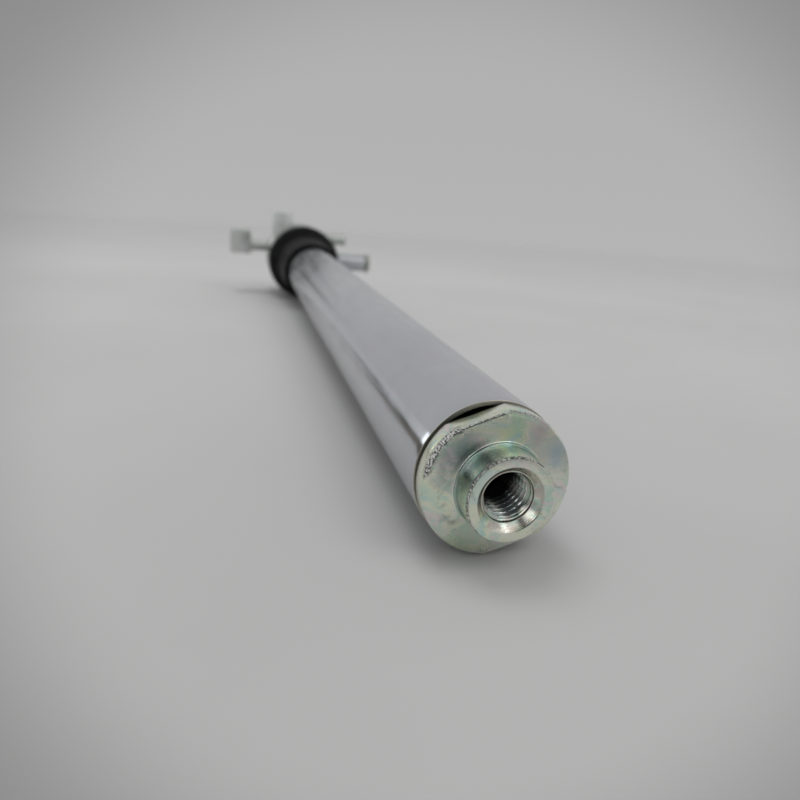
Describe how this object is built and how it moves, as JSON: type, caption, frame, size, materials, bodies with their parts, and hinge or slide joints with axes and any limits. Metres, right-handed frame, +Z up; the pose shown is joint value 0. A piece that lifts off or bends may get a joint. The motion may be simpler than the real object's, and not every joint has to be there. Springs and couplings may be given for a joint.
{
  "type": "drill paint mixer",
  "caption": "Guarded paint mixer: threaded drive flange, spindle on ball bearings in a chromed tube, rubber splash boot and hub with stirring arms.",
  "frame": {"origin": "On the resting plane, at the bottom centre of the whole mixer's box; the spindle axis runs along Y at 34.5 mm above it (x = 0).", "axes": "+Y along the spindle from the drive face to the mixing head, +Z up with the mixer lying on its side, +X to the side that the capped peg points to."},
  "size_m": [0.1424, 0.609, 0.08],
  "materials": {
    "zinc_plated_steel": "zinc plated with an iridescent clear passivation, satin, lightly scuffed",
    "chromed_steel": "bright chromium plate",
    "bright_steel": "ground bright steel",
    "spring_steel": "phosphated spring steel",
    "black_rubber": "moulded, satin",
    "turned_aluminium": "turned",
    "cage_brass": "machined"
  },
  "bodies": {
    "rotor": {"drive_flange": "zinc_plated_steel", "spindle_shaft": "bright_steel", "flange_spring_pin": "spring_steel", "front_bearing_inner_ring": "bright_steel", "rear_bearing_inner_ring": "bright_steel", "front_shaft_circlip": "spring_steel", "rear_shaft_circlip": "spring_steel", "hub_spacer_sleeve": "bright_steel", "mixing_head_hub": "zinc_plated_steel", "hub_drive_key": "bright_steel", "hub_washer": "zinc_plated_steel", "hub_lock_nut": "zinc_plated_steel", "paddle_arm": "zinc_plated_steel", "short_rod": "zinc_plated_steel", "side_peg": "chromed_steel", "side_peg_cap": "chromed_steel", "top_peg": "chromed_steel", "paddle_lock_nut": "zinc_plated_steel", "side_lock_nut": "zinc_plated_steel", "short_lock_nut": "zinc_plated_steel", "top_peg_washer": "bright_steel"},
    "guard": {"guard_tube": "chromed_steel", "front_dust_seal": "black_rubber", "front_bearing_carrier": "turned_aluminium", "front_bearing_outer_ring": "bright_steel", "front_bore_circlip": "spring_steel", "rear_bearing_carrier": "turned_aluminium", "rear_bearing_outer_ring": "bright_steel", "preload_wave_washer": "spring_steel", "rear_bore_circlip": "spring_steel", "rear_shaft_seal": "black_rubber", "splash_boot": "black_rubber"},
    "front_balls": {"front_ball_cage": "cage_brass"},
    "rear_balls": {"rear_ball_cage": "cage_brass"},
    "paddle": {"paddle_block": "zinc_plated_steel", "paddle_clamp_screw": "zinc_plated_steel"}
  },
  "joints": [
    {"name": "guard_spin", "type": "hinge", "parent": "rotor", "child": "guard", "pos_m": [0, 0, 0.0345], "axis": [0, 1, 0], "continuous": true},
    {"name": "front_balls_spin", "type": "hinge", "parent": "rotor", "child": "front_balls", "pos_m": [0, 0, 0.0345], "axis": [0, 1, 0], "continuous": true},
    {"name": "rear_balls_spin", "type": "hinge", "parent": "rotor", "child": "rear_balls", "pos_m": [0, 0, 0.0345], "axis": [0, 1, 0], "continuous": true},
    {"name": "paddle_pitch", "type": "hinge", "parent": "rotor", "child": "paddle", "pos_m": [-0.0612, 0.2485, 0.0462], "axis": [1, 0, 0], "range_deg": [-45, 45]}
  ],
  "couplings": [
    {"joint": "front_balls_spin", "follows": "guard_spin", "ratio": 0.62},
    {"joint": "rear_balls_spin", "follows": "guard_spin", "ratio": 0.62}
  ]
}
